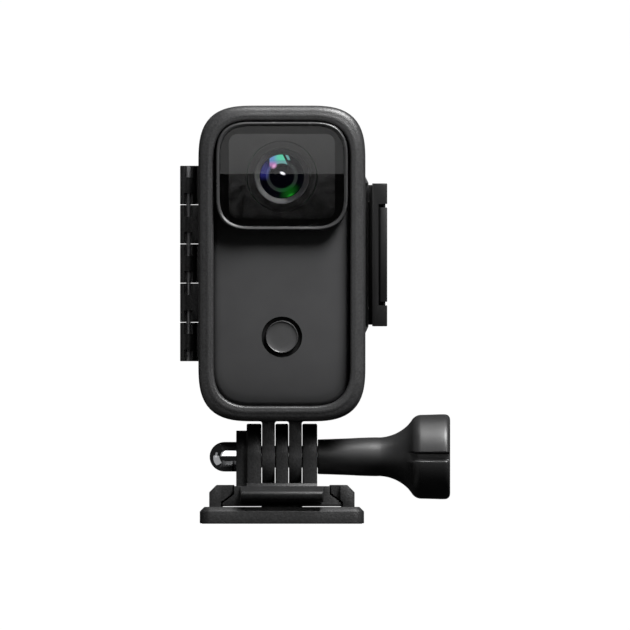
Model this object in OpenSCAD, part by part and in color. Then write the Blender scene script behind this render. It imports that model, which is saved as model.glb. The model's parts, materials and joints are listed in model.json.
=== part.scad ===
// Thumb-size action camera in a hinged clamshell cage, on a three-finger
// quick-release buckle and a flat adhesive base.
// Millimetres. +X is the camera's right as seen from its front, +Y points
// from the lens to the rear screen, +Z is up. The origin is the centre of
// the adhesive face under the base.

/* [Camera] */
// Width of the camera body
camera_w = 33; // [32.5:0.5:34]
// Height of the camera body
camera_h = 66.5; // [65:0.5:68]
// Depth of the camera body, without the raised lens panel
camera_d = 20; // [19:0.5:21]
// How far the camera's soft corners reach along its sides
camera_corner = 10.3; // [10:0.1:10.5]
// Wall of the camera's two shells
shell_t = 1.2; // [1:0.1:1.4]

/* [Lens panel] */
// Width of the raised lens panel
panel_w = 29.7; // [29:0.1:30]
// Height of the raised lens panel
panel_h = 24.4; // [23:0.1:24.7]
// How far the lens panel stands out of the camera's front face
panel_proud = 3; // [2.9:0.1:3.3]
// Radius of the front lens element
lens_r = 4.95; // [4.5:0.05:5]

/* [Record button] */
// Radius of the round front button
button_r = 3.66; // [3.3:0.02:3.8]
// How far the button travels
button_travel = 0.5; // [0.3:0.1:0.5]

/* [Cage] */
// Wall of the cage round the camera
cage_t = 2.1; // [2:0.05:2.2]
// Gap between the cage and the camera
cage_gap = 0.22; // [0.2:0.01:0.25]
// Height of the cage's hinge
hinge_h = 44.15; // [43:0.05:45]
// Height of the latch
latch_h = 32.2; // [32:0.1:32.5]

/* [Mount] */
// Height of the clamp bolt's axis above the adhesive face
axis_z = 15.1; // [15:0.05:15.3]
// Radius of the round end of every mounting finger
finger_r = 7.45; // [7.3:0.05:7.5]
// Radius of the clamp bolt
bolt_r = 2.45; // [2.4:0.05:2.5]
// Width of the base
base_w = 37; // [36.8:0.1:38]
// Length of the base
base_l = 45; // [44:0.5:46]
// Radius of the thumb knob's head
knob_r = 9.6; // [9:0.1:10]

/* [Hidden] */
$fn = 64;
eps = 0.01;
bore_gap = 0.07;          // radial clearance of every turning fit

// The cage, from the outside in
cage_w = camera_w + 2 * (cage_t + cage_gap);
cage_h = camera_h + 2 * (cage_t + cage_gap);
cage_corner = camera_corner + cage_t + cage_gap + 0.38;
cage_power = 3;           // superellipse power of the cage's outer corners
camera_power = 2.7;       // and of the camera and the room round it
cage_bottom = 23.06;
cage_z = cage_bottom + cage_h / 2;
cage_x = cage_w / 2;
lip_over = 1.15;          // how far the cage's lip reaches over the camera's edge
lip_t = 1.7;
lip_bevel = 1.3;
camera_front = -10.4;
camera_back = camera_front + camera_d;
cage_front = camera_front - 0.1 - lip_t;
cage_back = camera_back + 0.1 + lip_t;
parting = 7;              // the plane where the cage opens
parting_gap = 0.2;

// The hinge on the cage's left side
hinge_x = -(cage_x + 2.23);
hinge_y = parting + parting_gap / 2;
hinge_r = 1.88;
hinge_pin_r = 0.5;
knuckles = 5;
knuckle_h = hinge_h / knuckles;
knuckle_gap = 0.15;
hinge_z = cage_z - hinge_h / 2;
hinge_slot = [1, 2.6];    // half width and height of the windows that show the pin

// The latch on the cage's right side
latch_z = 44.48;
latch_top = latch_z + latch_h;
latch_x0 = cage_x + 1.6;
latch_x1 = cage_x + 4.9;
latch_front = -5;
latch_back = 6.9;
latch_pivot = [cage_x + 2.25, 9.1];
latch_pin_r = 0.5;
latch_barrel_r = 1.7;
lug_inset = 0.35;         // from the latch's ends to the lugs that carry its pin
lug_h = 3.7;
tab_z0 = 50;
tab_z1 = 71.25;
tab_pivot = [cage_x + 3.98, 4.6];
tab_pin_r = 0.35;

// The lens panel and what is behind its window
lens_z = cage_bottom + cage_h - 15.9;
panel_front = camera_front - panel_proud;
panel_corner = 8.5;
panel_power = 2.9;
window_drop = 0.25;       // from the bezel's rim back to the window
barrel_back = -2.8;
window_t = 1;
button_z = 42.1;

seam_y = 0;               // where the camera's two shells meet

// The rear screen
screen_w = 25.6;
screen_h = 37.6;
screen_z = cage_z + 7;

// The cage's two fingers and the buckle's three
finger_t = 2.9;
finger_x = 3.03;
bore_r = bolt_r + bore_gap;
left_finger = [-7.95, -4.6];
mid_finger = [-1.46, 1.46];
right_finger = [4.6, 7.96];
nut_boss = [-10.3, left_finger[0]];
nut_boss_r = 5.9;

// The cap nut
nut_af = 6.5;
nut_face = -6.5;
nut_dome_x = -12.95;
nut_dome_r = 3.33;

// The base, its rails and the buckle's dovetail foot
pad_proud = 0.1;
pad_room = 0.65;          // depth of the recess that holds the adhesive pad
base_top = 3.82;
base_bevel = 1.05;
base_r = 2.4;
rail_top = 8.76;
rail_x = 16.38;
rail_half_l = 18.5;
rail_bevel = 1.65;
foot_z = base_top + 0.15;
deck_z = 8.5;
slide_gap = 0.3;
stop_y = 9.8;             // where the rails step in and stop the buckle's foot
foot_bottom_x = 13.4;
foot_top_x = 10.8;
foot_front = -18;
foot_back = stop_y - 0.3;
tail_x = 7;

// The squeeze arms: each flexes about its round root
arm_root = [9.6, stop_y + 0.65];
arm_root_r = 0.8;
arm_bottom = foot_z + 0.2;
arm_top = deck_z - 0.2;
arm_end = 23;

// ---- Shared shapes ----

// Points of an arc about [cx, cy], from angle a0 to a1
function arc(cx, cy, r, a0, a1, n = 8) =
    [for (i = [0:n]) let (a = a0 + (a1 - a0) * i / n) [cx + r * cos(a), cy + r * sin(a)]];

// Outline of a rectangle with round corners, about the origin
function round_rect(w, h, r, n = 8) = concat(
    arc(w / 2 - r, h / 2 - r, r, 0, 90, n),
    arc(r - w / 2, h / 2 - r, r, 90, 180, n),
    arc(r - w / 2, r - h / 2, r, 180, 270, n),
    arc(w / 2 - r, r - h / 2, r, 270, 360, n)
);

// One coordinate of a superellipse: the cosine or sine, raised but with its sign kept
function raised(c, power) = sign(c) * pow(abs(c), 2 / power);

// One soft corner: a quarter of a superellipse of reach e about [cx, cy]
function soft_corner(cx, cy, e, a0, power, n) =
    [for (i = [0:n]) let (a = a0 + 90 * i / n)
        [cx + e * raised(cos(a), power), cy + e * raised(sin(a), power)]];

// Outline of a rectangle whose corners are soft, about the origin
function soft_rect(w, h, e, power, n = 9) = concat(
    soft_corner(w / 2 - e, h / 2 - e, e, 0, power, n),
    soft_corner(e - w / 2, h / 2 - e, e, 90, power, n),
    soft_corner(e - w / 2, e - h / 2, e, 180, power, n),
    soft_corner(w / 2 - e, e - h / 2, e, 270, power, n)
);

// Extrudes an XZ outline from y0 to y1
module along_y(y0, y1) {
    translate([0, y1, 0]) rotate([90, 0, 0]) linear_extrude(height = y1 - y0) children();
}

// Extrudes a YZ outline from x0 to x1
module along_x(x0, x1) {
    translate([x0, 0, 0]) rotate([90, 0, 90]) linear_extrude(height = x1 - x0) children();
}

// A cylinder whose axis is parallel to X
module rod_x(x0, x1, r, y = 0, z = axis_z) {
    translate([x0, y, z]) rotate([0, 90, 0]) cylinder(h = x1 - x0, r = r);
}

// A cylinder whose axis is parallel to Y
module rod_y(y0, y1, r, x = 0, z = 0) {
    translate([x, y1, z]) rotate([90, 0, 0]) cylinder(h = y1 - y0, r = r);
}

// A box given by two corners
module box(low, high) {
    translate(low) cube(high - low);
}

// A rounded slab in the XZ plane, centred at height z
module slab(w, h, r, y0, y1, z = cage_z) {
    translate([0, 0, z]) along_y(y0, y1) polygon(round_rect(w, h, r));
}

// A soft-cornered slab in the XZ plane
module soft_slab(w, h, e, power, y0, y1, z = cage_z) {
    translate([0, 0, z]) along_y(y0, y1) polygon(soft_rect(w, h, e, power));
}

// A soft-cornered slab that narrows by bevel from y_wide to y_narrow
module bevelled_slab(w, h, e, power, y_wide, y_narrow, bevel, z = cage_z) {
    thin = 0.02;
    step = y_wide > y_narrow ? -thin : thin;
    back = [min(y_wide, y_wide + step), max(y_wide, y_wide + step)];
    front = [min(y_narrow, y_narrow - step), max(y_narrow, y_narrow - step)];
    hull() {
        soft_slab(w, h, e, power, back[0], back[1], z);
        soft_slab(w - 2 * bevel, h - 2 * bevel, e - bevel, power, front[0], front[1], z);
    }
}

module mirror_x() {
    children();
    mirror([1, 0, 0]) children();
}

// ---- Base ----

// Outline of one dovetail rail: an undercut lip at a gap from the buckle's foot
function rail_outline(gap) = [
    [foot_bottom_x + gap, base_top - 1], [rail_x, base_top - 1],
    [rail_x, rail_top - rail_bevel], [rail_x - rail_bevel, rail_top],
    [foot_top_x + gap, rail_top], [foot_top_x + gap, 6.6 + gap],
    [foot_bottom_x + gap, 4.6 + gap]
];

// A rail: open in front, and stepped in behind the foot as its stop
module rail() {
    lead_in = 3.5;
    lead_z = 5.2;
    lead_x = foot_bottom_x - 0.2;
    difference() {
        along_y(-rail_half_l, stop_y + eps) polygon(rail_outline(slide_gap));
        box([foot_top_x, -rail_half_l - 1, lead_z], [lead_x, lead_in - rail_half_l, rail_top + 1]);
    }
    along_y(stop_y, rail_half_l) polygon(rail_outline(-0.1));
}

// The plate under the rails, with a bevel round its top
module plate() {
    top_w = base_w - 2 * base_bevel;
    top_l = base_l - 2 * base_bevel;
    thin = 0.02;
    hull() {
        translate([0, 0, pad_proud]) linear_extrude(height = base_top - base_bevel - pad_proud)
            polygon(round_rect(base_w, base_l, base_r));
        translate([0, 0, base_top - thin]) linear_extrude(height = thin)
            polygon(round_rect(top_w, top_l, base_r - base_bevel));
    }
}

module base_plate() {
    ribs = [[-4.1, -1.62], [-1.3, 1.4], [1.72, 4.1]];
    rib_top = 4.6;
    rib_half_l = 16;
    notch_x = 8.4;
    notch_z = 2.9;
    notch_depth = 1.5;
    color("#2b2b2c") difference() {
        union() {
            plate();
            mirror_x() rail();
            for (rib = ribs) box([rib[0], -rib_half_l, base_top - 1], [rib[1], rib_half_l, rib_top]);
        }
        translate([0, 0, pad_proud - 1]) linear_extrude(height = 1 + pad_room)
            polygon(round_rect(base_w - 0.9, base_l - 0.9, base_r));
        // Fingertip notch under the buckle's tab
        box([-notch_x, -base_l / 2 - 1, notch_z], [notch_x, notch_depth - base_l / 2, rib_top]);
    }
}

module adhesive_pad() {
    color("#1c1c1c") linear_extrude(height = pad_proud + pad_room)
        polygon(round_rect(base_w - 0.94, base_l - 0.94, base_r - 0.02));
}

// ---- Buckle ----

function foot_outline() = [
    [-foot_bottom_x, foot_z], [foot_bottom_x, foot_z], [foot_bottom_x, 4.6],
    [foot_top_x, 6.6], [foot_top_x, deck_z], [-foot_top_x, deck_z],
    [-foot_top_x, 6.6], [-foot_bottom_x, 4.6]
];

// One finger of the buckle: a round top on a straight neck
module buckle_finger(span, r) {
    rod_x(span[0], span[1], r);
    box([span[0], -r, deck_z - 1], [span[1], r, axis_z]);
}

// Outline of the tab that stands out of the buckle's front end
function tab_outline() = concat(
    [[-17.8, deck_z], [-17.8, 5.2], [-20.6, 4.85]],
    arc(-22.5, 6.35, 1.5, 270, 200, 5),
    arc(-23.3, 6.55, 0.9, 180, 90, 4)
);

module buckle_body() {
    tab_x = 9.35;
    finger_room = finger_r + 0.35;
    nut_pocket_r = (nut_af / 2 + 0.08) / cos(30);
    color("#262627") difference() {
        union() {
            along_y(foot_front, foot_back) polygon(foot_outline());
            box([-tail_x, 0, foot_z], [tail_x, 17, deck_z]);
            along_x(-tab_x, tab_x) polygon(tab_outline());
            // Saddle under the fingers
            along_x(left_finger[0], right_finger[1])
                polygon([[-9.4, deck_z - 1], [-8.3, 9.17], [8.3, 9.17], [9.4, deck_z - 1]]);
            for (span = [left_finger, mid_finger, right_finger]) buckle_finger(span, finger_r);
            buckle_finger(nut_boss, nut_boss_r);
        }
        // The cage's fingers turn in these two gaps
        rod_x(left_finger[1], mid_finger[0], finger_room);
        rod_x(mid_finger[1], right_finger[0], finger_room);
        rod_x(-20, 20, bore_r);
        // Hexagonal pocket that keeps the cap nut from turning
        translate([nut_face, 0, axis_z]) rotate([0, -90, 0]) cylinder(h = 12, r = nut_pocket_r, $fn = 6);
        // Channel over the base's ribs
        box([-4.7, foot_front - 1, 0], [4.7, 30, 4.85]);
    }
}

// Side arm that flexes inwards about its root, with grip ridges at its free end
module squeeze_arm() {
    inner_x = arm_root[0] - arm_root_r;
    outer_x = arm_root[0] + arm_root_r;
    flank = 2.4;
    arm_h = arm_top - arm_bottom;
    ridges = 4;
    color("#262627") difference() {
        union() {
            translate([arm_root[0], arm_root[1], arm_bottom]) cylinder(h = arm_h, r = arm_root_r);
            along_y(arm_root[1], arm_end) polygon([
                [inner_x, arm_bottom], [outer_x + flank, arm_bottom], [outer_x, arm_bottom + 2],
                [outer_x, arm_top], [inner_x, arm_top]
            ]);
        }
        for (i = [1:ridges]) translate([outer_x + 0.1, arm_end - i, arm_bottom + 2.2])
            cylinder(h = arm_h, r = 0.3);
    }
}

module right_squeeze_arm() { squeeze_arm(); }

module left_squeeze_arm() { mirror([1, 0, 0]) squeeze_arm(); }

// ---- Clamp screw ----

module cap_nut() {
    corner = nut_af / 2 / cos(30);
    color("#b9bbbe") difference() {
        intersection() {
            translate([-20, 0, axis_z]) rotate([0, 90, 0]) cylinder(h = 13.5, r = corner, $fn = 6);
            // Turned outline: dome, shoulder and a plain length that the hexagon trims
            translate([nut_dome_x, 0, axis_z]) rotate([0, -90, 0]) rotate_extrude()
                polygon(concat(
                    [[0, nut_dome_x - nut_face], [corner, nut_dome_x - nut_face], [corner, -0.9]],
                    [for (a = [0:9:81]) [nut_dome_r * cos(a), nut_dome_r * sin(a)]],
                    [[0, nut_dome_r]]
                ));
        }
        rod_x(-14.9, nut_face + 1, bolt_r + 0.05);
    }
}

module clamp_bolt() {
    color("#8f9194") rod_x(-14.5, 26, bolt_r);
}

// Radius of the knob along its axis: shaft, flare, round shoulder, head
function knob_outline() = concat(
    [[0, 8.05], [3.9, 8.05], [4.36, 21]],
    [for (x = [22:1:28]) [13.95 - sqrt(9.6 * 9.6 - (x - 21.6) * (x - 21.6)), x]],
    [for (a = [30:15:90]) [6.9 + 2.55 * sin(a), 31.4 - 2.55 * cos(a)]],
    [[knob_r, 35.6]],
    arc(knob_r - 1.1, 36.5, 1.1, 0, 75, 4),
    [[5.2, 37.9], [4.6, 37], [0, 37]]
);

module thumb_knob() {
    floor_r = 4.5;
    color("#202021") difference() {
        translate([0, 0, axis_z]) rotate([0, 90, 0]) rotate_extrude() polygon(knob_outline());
        rod_x(8, 26.1, bolt_r);
        // Three grooves between the head's lobes, wide at the neck and narrow at the head
        for (i = [0:2]) translate([0, 0, axis_z]) rotate([i * 120, 0, 0])
            translate([0, -floor_r, 0]) rotate([90, 0, 0]) linear_extrude(height = 8)
                polygon([[21.5, -2.9], [30.2, -1.02], [40, -1], [40, 1], [30.2, 1.02], [21.5, 2.9]]);
    }
}

// ---- Cage ----

// The camera's outline, inset all round
module camera_slab(inset, y0, y1) {
    soft_slab(camera_w - 2 * inset, camera_h - 2 * inset, camera_corner - inset, camera_power, y0, y1);
}

// The camera's room inside the cage
module camera_room(y0, y1) {
    camera_slab(-cage_gap, y0, y1);
}

// The opening that the cage's lip leaves
module lip_opening(y0, y1) {
    camera_slab(lip_over, y0, y1);
}

// Half of the cage's outside: walls from y_open to the bevel round its face at y_face
module cage_half(y_open, y_face) {
    y_bevel = y_face + (y_open > y_face ? lip_bevel : -lip_bevel);
    y_wall = y_bevel + (y_open > y_face ? 0.02 : -0.02);
    soft_slab(cage_w, cage_h, cage_corner, cage_power, min(y_open, y_bevel), max(y_open, y_bevel));
    bevelled_slab(cage_w, cage_h, cage_corner, cage_power, y_wall, y_face, lip_bevel);
}

// One hinge knuckle: a barrel with an arm to the cage's wall, bored for the pin.
// Its two ends are open to the front, which shows the pin.
module knuckle(i, arm_y0, arm_y1, bore) {
    z0 = hinge_z + i * knuckle_h + knuckle_gap / 2;
    z1 = hinge_z + (i + 1) * knuckle_h - knuckle_gap / 2;
    slot_x = hinge_slot[0];
    slot_h = hinge_slot[1];
    difference() {
        union() {
            translate([hinge_x, hinge_y, z0]) cylinder(h = z1 - z0, r = hinge_r);
            box([hinge_x, arm_y0, z0], [-cage_x + 0.5, arm_y1, z1]);
        }
        translate([hinge_x, hinge_y, z0 - 1]) cylinder(h = knuckle_h + 2, r = bore);
        for (z = [z0 - eps, z1 - slot_h])
            box([hinge_x - slot_x, hinge_y - 3, z], [hinge_x + slot_x, hinge_y + 0.35, z + slot_h + eps]);
    }
}

// One of the two fingers under the cage
module cage_finger() {
    inner_x = finger_x - finger_t / 2;
    outer_x = finger_x + finger_t / 2;
    difference() {
        union() {
            rod_x(inner_x, outer_x, finger_r);
            box([inner_x, -finger_r, axis_z], [outer_x, parting - 0.1, cage_bottom + 0.6]);
        }
        rod_x(0, 10, bore_r);
    }
}

// Raised pad on the right wall that the latch closes against
module latch_pad() {
    ear = [43.7, 77.5];
    slope = 0.7;
    proud = 0.68;
    translate([cage_x, 0, 0]) along_y(-6.5, parting - 0.1) polygon([
        [-1, ear[0] - slope], [0, ear[0] - slope], [proud, ear[0] + slope],
        [proud, ear[1] - slope], [0, ear[1] + slope], [-1, ear[1] + slope]
    ]);
}

module front_frame() {
    color("#313133") {
        difference() {
            union() {
                cage_half(parting, cage_front);
                latch_pad();
            }
            camera_room(camera_front - 0.1, parting + 1);
            lip_opening(cage_front - 1, camera_front);
        }
        for (i = [1, 3]) knuckle(i, hinge_y - hinge_r, parting - 0.05, hinge_pin_r + 0.02);
        mirror_x() cage_finger();
    }
}

module hinge_pin() {
    color("#9a9c9f") translate([hinge_x, hinge_y, hinge_z + 0.15])
        cylinder(h = hinge_h - 0.3, r = hinge_pin_r);
}

// One of the two lugs on the cover that carry the latch's pin
module latch_lug(z) {
    arm_half_t = 1.1;
    difference() {
        union() {
            translate([latch_pivot[0], latch_pivot[1], z]) cylinder(h = lug_h, r = latch_barrel_r);
            box([cage_x - 0.5, latch_pivot[1] - arm_half_t, z],
                [latch_pivot[0], latch_pivot[1] + arm_half_t, z + lug_h]);
        }
        translate([latch_pivot[0], latch_pivot[1], z - 1]) cylinder(h = lug_h + 2, r = latch_pin_r + 0.02);
    }
}

module back_cover() {
    cover_y = parting + parting_gap;
    color("#313133") {
        difference() {
            cage_half(cover_y, cage_back);
            camera_room(parting, camera_back + 0.1);
            lip_opening(camera_back, cage_back + 1);
        }
        for (i = [0, 2, 4]) knuckle(i, cover_y + 0.05, hinge_y + hinge_r, hinge_pin_r + bore_gap);
        for (z = [latch_z + lug_inset, latch_top - lug_inset - lug_h]) latch_lug(z);
    }
}

// ---- Latch ----

module latch_plate() {
    barrel_z = [latch_z + lug_inset + lug_h + 0.25, latch_top - lug_inset - lug_h - 0.25];
    pocket_z = [tab_z0 - 0.8, tab_z1 + 0.78];
    pocket_back = 5.8;
    notch_x = latch_x1 - 0.4;
    lip_x = cage_x + 0.95;
    pin_inset = 2.5;
    color("#252526") difference() {
        union() {
            box([latch_x0, latch_front, latch_z], [latch_x1, latch_back, latch_top]);
            // Inner lip that closes against the frame's pad
            box([lip_x, latch_front, latch_z + 0.4], [latch_x0 + 0.1, latch_front + 1.6, latch_top - 0.4]);
            translate([latch_pivot[0], latch_pivot[1], barrel_z[0]])
                cylinder(h = barrel_z[1] - barrel_z[0], r = latch_barrel_r);
            box([latch_x0 + 0.1, latch_back - 0.4, barrel_z[0]],
                [latch_pivot[0] + latch_barrel_r, latch_pivot[1], barrel_z[1]]);
        }
        translate([latch_pivot[0], latch_pivot[1], 0]) cylinder(h = 100, r = latch_pin_r + bore_gap);
        // Pocket for the tab, open to the front and the outside
        box([cage_x + 2.95, latch_front - 1, pocket_z[0]], [latch_x1 + 1, pocket_back, pocket_z[1]]);
        box([notch_x, latch_front - 1, pocket_z[0]], [latch_x1 + 1, latch_back + 1, pocket_z[1]]);
        // Holes for the tab's pin
        translate([tab_pivot[0], tab_pivot[1], latch_z + pin_inset])
            cylinder(h = latch_h - 2 * pin_inset, r = tab_pin_r + 0.02);
    }
}

module latch_pin() {
    color("#9a9c9f") translate([latch_pivot[0], latch_pivot[1], latch_z + 0.45])
        cylinder(h = latch_h - 0.9, r = latch_pin_r);
}

module latch_tab() {
    x0 = cage_x + 3.05;
    front = latch_front - 0.3;
    roll_r = 0.84;
    groove_step = 1.3;
    groove_r = 0.35;
    color("#252526") difference() {
        union() {
            box([x0, front, tab_z0], [latch_x1, tab_pivot[1], tab_z1]);
            translate([tab_pivot[0], tab_pivot[1], tab_z0]) cylinder(h = tab_z1 - tab_z0, r = roll_r);
        }
        translate([tab_pivot[0], tab_pivot[1], 0]) cylinder(h = 100, r = tab_pin_r + bore_gap);
        // Bevelled inner front edge, and grooves for a fingertip
        translate([x0, front, 0]) rotate([0, 0, 45]) cube([0.5, 0.5, 300], center = true);
        for (i = [1:4]) translate([latch_x1 + 0.1, front + 0.2 + i * groove_step, 0])
            cylinder(h = 100, r = groove_r);
    }
}

module latch_tab_pin() {
    color("#9a9c9f") translate([tab_pivot[0], tab_pivot[1], latch_z + 2.6])
        cylinder(h = latch_h - 5.2, r = tab_pin_r);
}

// ---- Camera shells ----

boss_at = [for (x = [-12.2, 12.2], z = [-28.4, 28.4]) [x, cage_z + z]];
boss_r = 1.6;
screw_r = 0.7;
screw_head_r = 1.35;

// Half of the camera's outside: walls from the seam to the bevel round its face
module shell_half(y_seam, y_face, bevel) {
    inwards = y_seam > y_face ? 1 : -1;
    y_bevel = y_face + inwards * bevel;
    camera_slab(0, min(y_seam, y_bevel), max(y_seam, y_bevel));
    bevelled_slab(camera_w, camera_h, camera_corner, camera_power, y_bevel + inwards * 0.02, y_face, bevel);
}

module camera_front_shell() {
    button_well_r = button_r + 0.92;
    plug_y = [-6.45, -2.55];
    socket_y = [-5.85, -3.2];
    color("#333335") {
        difference() {
            shell_half(seam_y - 0.1, camera_front, 1);
            camera_slab(shell_t, camera_front + shell_t, seam_y + 1);
            rod_y(camera_front - 1, 0, 8.2, 0, lens_z);
            rod_y(camera_front - 1, 0, button_well_r, 0, button_z);
            // Seat of the plug over the charging socket
            box([camera_w / 2 - 0.55, plug_y[0], 33.95], [camera_w, plug_y[1], 44.05]);
            box([0, socket_y[0], 34.95], [camera_w, socket_y[1], 42.95]);
        }
        for (p = boss_at) difference() {
            rod_y(camera_front + shell_t - 0.1, seam_y - 0.3, boss_r, p[0], p[1]);
            rod_y(-7, seam_y + 1, screw_r + 0.02, p[0], p[1]);
        }
    }
}

module camera_back_shell() {
    screen_opening = 0.8;
    color("#333335") difference() {
        shell_half(seam_y + 0.1, camera_back, 1.6);
        camera_slab(shell_t, seam_y - 1, camera_back - shell_t);
        // Opening for the screen and its glass
        slab(screen_w + screen_opening, screen_h + screen_opening, 3.2,
            camera_back - shell_t - 1, camera_back + 1, screen_z);
        for (p = boss_at) {
            rod_y(5, camera_back + 1, screw_r + 0.1, p[0], p[1]);
            rod_y(camera_back - 0.8, camera_back + 1, screw_head_r + 0.1, p[0], p[1]);
        }
        // Holes over the speaker and the microphone
        for (i = [-3:3]) rod_y(5, camera_back + 1, 0.45, i * 1.5, 39.5);
        rod_y(5, camera_back + 1, 0.45, -9.5, 44);
    }
}

module shell_seal() {
    half_t = 0.09;
    color("#101010") difference() {
        camera_slab(0.4, seam_y - half_t, seam_y + half_t);
        camera_slab(shell_t - 0.1, seam_y - 1, seam_y + 1);
    }
}

module camera_screws() {
    color("#6f7174") for (p = boss_at) difference() {
        union() {
            rod_y(-6, camera_back - 0.5, screw_r, p[0], p[1]);
            rod_y(camera_back - 0.75, camera_back - 0.1, screw_head_r, p[0], p[1]);
        }
        translate([p[0], camera_back, p[1]]) rotate([90, 0, 0]) cylinder(h = 0.7, r = 0.62, $fn = 6);
    }
}

// ---- Lens panel ----

// The panel's outline, inset all round
module panel_slab(inset, y0, y1) {
    soft_slab(panel_w - 2 * inset, panel_h - 2 * inset, panel_corner - inset, panel_power, y0, y1, lens_z);
}

module lens_bezel() {
    rim = 0.8;
    bevel = 0.5;
    color("#3c3c3e") difference() {
        union() {
            panel_slab(0, panel_front + bevel, camera_front - 0.02);
            bevelled_slab(panel_w, panel_h, panel_corner, panel_power,
                panel_front + bevel + 0.02, panel_front, bevel, lens_z);
        }
        panel_slab(rim, panel_front - 1, camera_front - 0.7);
        rod_y(panel_front - 1, camera_front + 1, 8.1, 0, lens_z);
    }
}

module lens_window() {
    window_front = panel_front + window_drop;
    color([0.2, 0.2, 0.22, 0.35]) panel_slab(0.85, window_front, window_front + window_t);
}

module lens_mask() {
    mask_front = panel_front + window_drop + window_t + 0.05;
    step = [24.3, 19.1];      // the sunk middle, seen as a line inside the glass
    color("#0a0a0a") difference() {
        panel_slab(0.9, mask_front, mask_front + 0.9);
        soft_slab(step[0], step[1], 5, panel_power, panel_front, mask_front + 0.2, lens_z);
        rod_y(panel_front, panel_front + 4, 7.95, 0, lens_z);
    }
}

module lens_barrel() {
    color("#161617") translate([0, 0, lens_z]) rotate([90, 0, 0]) rotate_extrude()
        polygon([
            [7.86, -panel_front - 1.45], [7.86, -barrel_back], [3.2, -barrel_back],
            [3.2, 8.6], [5.05, 8.6], [5.05, 10.3], [6.22, 10.3], [6.22, 11.2],
            [6.6, 11.6], [6.95, 11.6], [6.95, 11.45], [7.1, 11.45], [7.1, 11.95]
        ]);
}

module lens_retaining_ring() {
    color("#77787b") translate([0, 0, lens_z]) rotate([90, 0, 0]) rotate_extrude()
        polygon([[5.06, 10.32], [6.2, 10.32], [6.2, 11.1], [5.06, 10.75]]);
}

// A lens element: a disc with a ball-shaped front
module lens_element(r, y_front, sag, y_back) {
    ball = (r * r + sag * sag) / (2 * sag);
    translate([0, 0, lens_z]) intersection() {
        translate([0, y_front + ball, 0]) sphere(r = ball, $fn = 96);
        rod_y(y_front - 1, y_back, r, 0, 0);
    }
}

module lens_front_element() {
    color([0.1, 0.12, 0.3, 0.5]) lens_element(lens_r, -11.05, 1.3, -8.75);
}

module lens_spacer_ring() {
    color("#4a4c50") difference() {
        rod_y(-8.55, -6.9, 3.15, 0, lens_z);
        rod_y(-9, -6, 2.5, 0, lens_z);
    }
}

module lens_inner_element() {
    color([0.1, 0.12, 0.3, 0.5]) lens_element(3.1, -6.85, 0.5, -4.4);
}

// ---- Electronics ----

module sensor_board() {
    color("#12351f") box([-10, -2.7, lens_z - 9.5], [10, -1.7, lens_z + 9.5]);
}

module image_sensor() {
    color("#2d3138") box([-2.2, -3.9, lens_z - 1.7], [2.2, -2.72, lens_z + 1.7]);
}

module main_board() {
    color("#12351f") box([-11.3, -7.2, 33], [11.3, -6.2, 60]);
}

module image_processor() {
    color("#1b1c1f") box([-5, -6.18, 47], [5, -4.9, 57]);
}

module usb_socket() {
    color("#9a9c9f") difference() {
        box([9.2, -6.15, 34.5], [15.2, -2.9, 43.4]);
        box([10.2, -5.85, 34.9], [16, -3.2, 43]);
    }
}

module card_socket() {
    color("#9a9c9f") box([-9.2, -6.15, 34.5], [2.8, -4.75, 45.5]);
}

module microphone() {
    color("#b08d3c") box([-11, 6.7, 42.5], [-8, 8.1, 45.5]);
}

// Rubber plug over the charging socket, on the camera's right side
module port_plug() {
    color("#1a1a1b") union() {
        box([14.2, -5.8, 35], [camera_w / 2 - 0.5, -3.25, 42.9]);
        box([camera_w / 2 - 0.55, -6.4, 34], [camera_w / 2 - 0.05, -2.6, 44]);
    }
}

module battery() {
    color("#4a5a6b") box([-12, -2.6, 32.6], [12, 6.4, 60]);
}

module speaker() {
    color("#1f1f20") box([-6, 6.7, 36], [6, 8.1, 43]);
}

// ---- Record button ----

module button_cap() {
    y = camera_front - 0.35;
    color("#363638") difference() {
        union() {
            rod_y(y, camera_front + 1.5, button_r, 0, button_z);
            // Flange that keeps the cap behind its ring
            rod_y(camera_front + shell_t + 0.1, camera_front + 1.7, button_r + 0.6, 0, button_z);
        }
        // Shallow dish for the fingertip
        rod_y(y - 1, y + 0.25, button_r - 0.4, 0, button_z);
    }
}

module button_ring() {
    color("#050505") difference() {
        rod_y(camera_front - 0.05, camera_front + shell_t - 0.1, button_r + 0.87, 0, button_z);
        rod_y(camera_front - 1, camera_front + 3, button_r + 0.06, 0, button_z);
    }
}

module button_switch() {
    color("#8a8c90") union() {
        box([-2.6, -7.85, button_z - 2.6], [2.6, -7.22, button_z + 2.6]);
        rod_y(-8.1, -7.8, 1.4, 0, button_z);
    }
}

// ---- Rear screen ----

module display_panel() {
    color("#101318") slab(screen_w, screen_h, 2.4, camera_back - 2.5, camera_back - 1.3, screen_z);
}

module display_glass() {
    color("#060607")
        slab(screen_w + 0.6, screen_h + 0.6, 3.1, camera_back - 1.25, camera_back - 0.05, screen_z);
}

base_plate();
adhesive_pad();
buckle_body();
left_squeeze_arm();
right_squeeze_arm();
cap_nut();
clamp_bolt();
thumb_knob();
front_frame();
hinge_pin();
back_cover();
latch_plate();
latch_pin();
latch_tab();
latch_tab_pin();
camera_front_shell();
camera_back_shell();
shell_seal();
camera_screws();
lens_bezel();
lens_window();
lens_mask();
lens_barrel();
lens_retaining_ring();
lens_front_element();
lens_spacer_ring();
lens_inner_element();
sensor_board();
image_sensor();
main_board();
image_processor();
usb_socket();
card_socket();
port_plug();
battery();
speaker();
microphone();
button_cap();
button_ring();
button_switch();
display_panel();
display_glass();
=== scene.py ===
"""Looks of the action camera, its clamshell cage and its quick-release mount.

Shapes are in millimetres in the CAD frame (+X right, +Y away from the lens side,
+Z up) and are scaled to metres when each mesh is made.
"""

import json
from math import cos, pi, radians, sin, sqrt

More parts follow.
